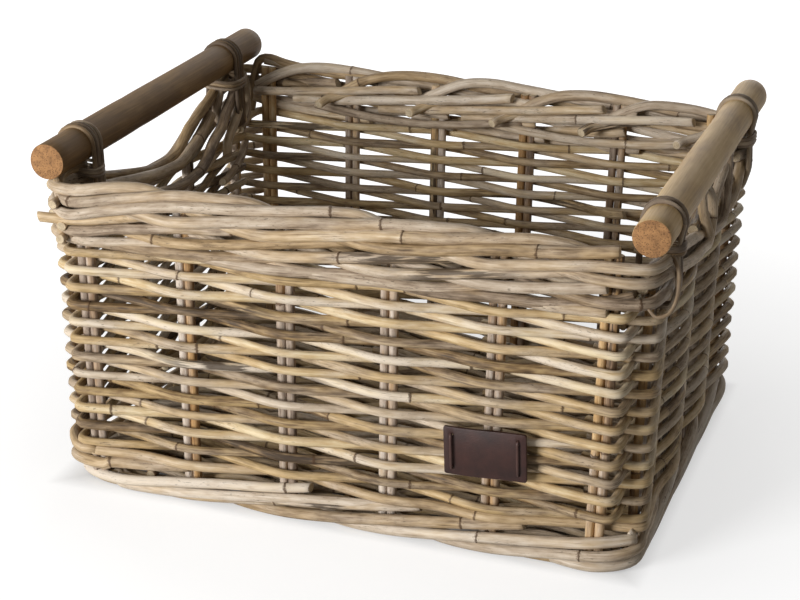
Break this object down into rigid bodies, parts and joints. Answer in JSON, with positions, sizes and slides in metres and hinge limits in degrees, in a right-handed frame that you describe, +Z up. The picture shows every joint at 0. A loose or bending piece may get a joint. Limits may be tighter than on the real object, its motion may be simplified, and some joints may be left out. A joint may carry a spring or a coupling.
{
  "type": "cane bicycle basket",
  "caption": "Open rectangular bicycle basket of woven grey-washed cane, with a dip in each end below a lashed carrying pole and a bare leather label.",
  "frame": {"origin": "middle of the footprint, on the ground that the base stands on", "axes": "+X along the basket towards the pole on the viewer's right when the label faces the viewer, -Y towards the wall with the label, +Z up"},
  "size_m": [0.4428, 0.3486, 0.2494],
  "materials": {
    "stake_cane": "weathered round rattan cane, bark on, grey wash",
    "weaving_cane": "weathered round rattan cane, mixed straw and grey",
    "rim_cane": "thick weathered rattan cane, pale",
    "base_cane": "thick weathered rattan cane",
    "pole_cane": "peeled rattan pole, smoke-brown, satin",
    "split_cane": "split rattan, dull",
    "leather": "dark brown, smooth, semi-matt",
    "leather_lace": "dark brown, thin round lace"
  },
  "bodies": {
    "root": {"base_frame": "base_cane", "base_stick_1": "base_cane", "base_stick_2": "base_cane", "base_stick_3": "base_cane", "base_stick_4": "base_cane", "base_stick_5": "base_cane", "base_weaver": "base_cane", "carry_pole_left": "pole_cane", "carry_pole_right": "pole_cane", "label_lace_left": "leather_lace", "label_lace_right": "leather_lace", "lashing_back_left": "split_cane", "lashing_back_right": "split_cane", "lashing_front_left": "split_cane", "lashing_front_right": "split_cane", "leather_label": "leather", "rim_cane_1": "rim_cane", "rim_cane_2": "rim_cane", "rim_cane_3": "rim_cane", "rim_cane_4": "rim_cane", "rim_cane_5": "rim_cane", "rim_inner_back": "rim_cane", "rim_inner_front": "rim_cane", "stake_pair_back_1": "stake_cane", "stake_pair_back_2": "stake_cane", "stake_pair_back_3": "stake_cane", "stake_pair_back_4": "stake_cane", "stake_pair_back_5": "stake_cane", "stake_pair_back_6": "stake_cane", "stake_pair_front_1": "stake_cane", "stake_pair_front_2": "stake_cane", "stake_pair_front_3": "stake_cane", "stake_pair_front_4": "stake_cane", "stake_pair_front_5": "stake_cane", "stake_pair_front_6": "stake_cane", "stake_pair_left_1": "stake_cane", "stake_pair_left_2": "stake_cane", "stake_pair_left_3": "stake_cane", "stake_pair_left_4": "stake_cane", "stake_pair_right_1": "stake_cane", "stake_pair_right_2": "stake_cane", "stake_pair_right_3": "stake_cane", "stake_pair_right_4": "stake_cane", "upsett_row_1": "base_cane", "upsett_row_2": "base_cane", "upsett_row_3": "base_cane", "weave_row_01": "weaving_cane", "weave_row_02": "weaving_cane", "weave_row_03": "weaving_cane", "weave_row_04": "weaving_cane", "weave_row_05": "weaving_cane", "weave_row_06": "weaving_cane", "weave_row_07": "weaving_cane", "weave_row_08": "weaving_cane", "weave_row_09": "weaving_cane", "weave_row_10": "weaving_cane", "weave_row_11": "weaving_cane", "weave_row_12_back": "weaving_cane", "weave_row_12_front": "weaving_cane"}
  },
  "joints": []
}
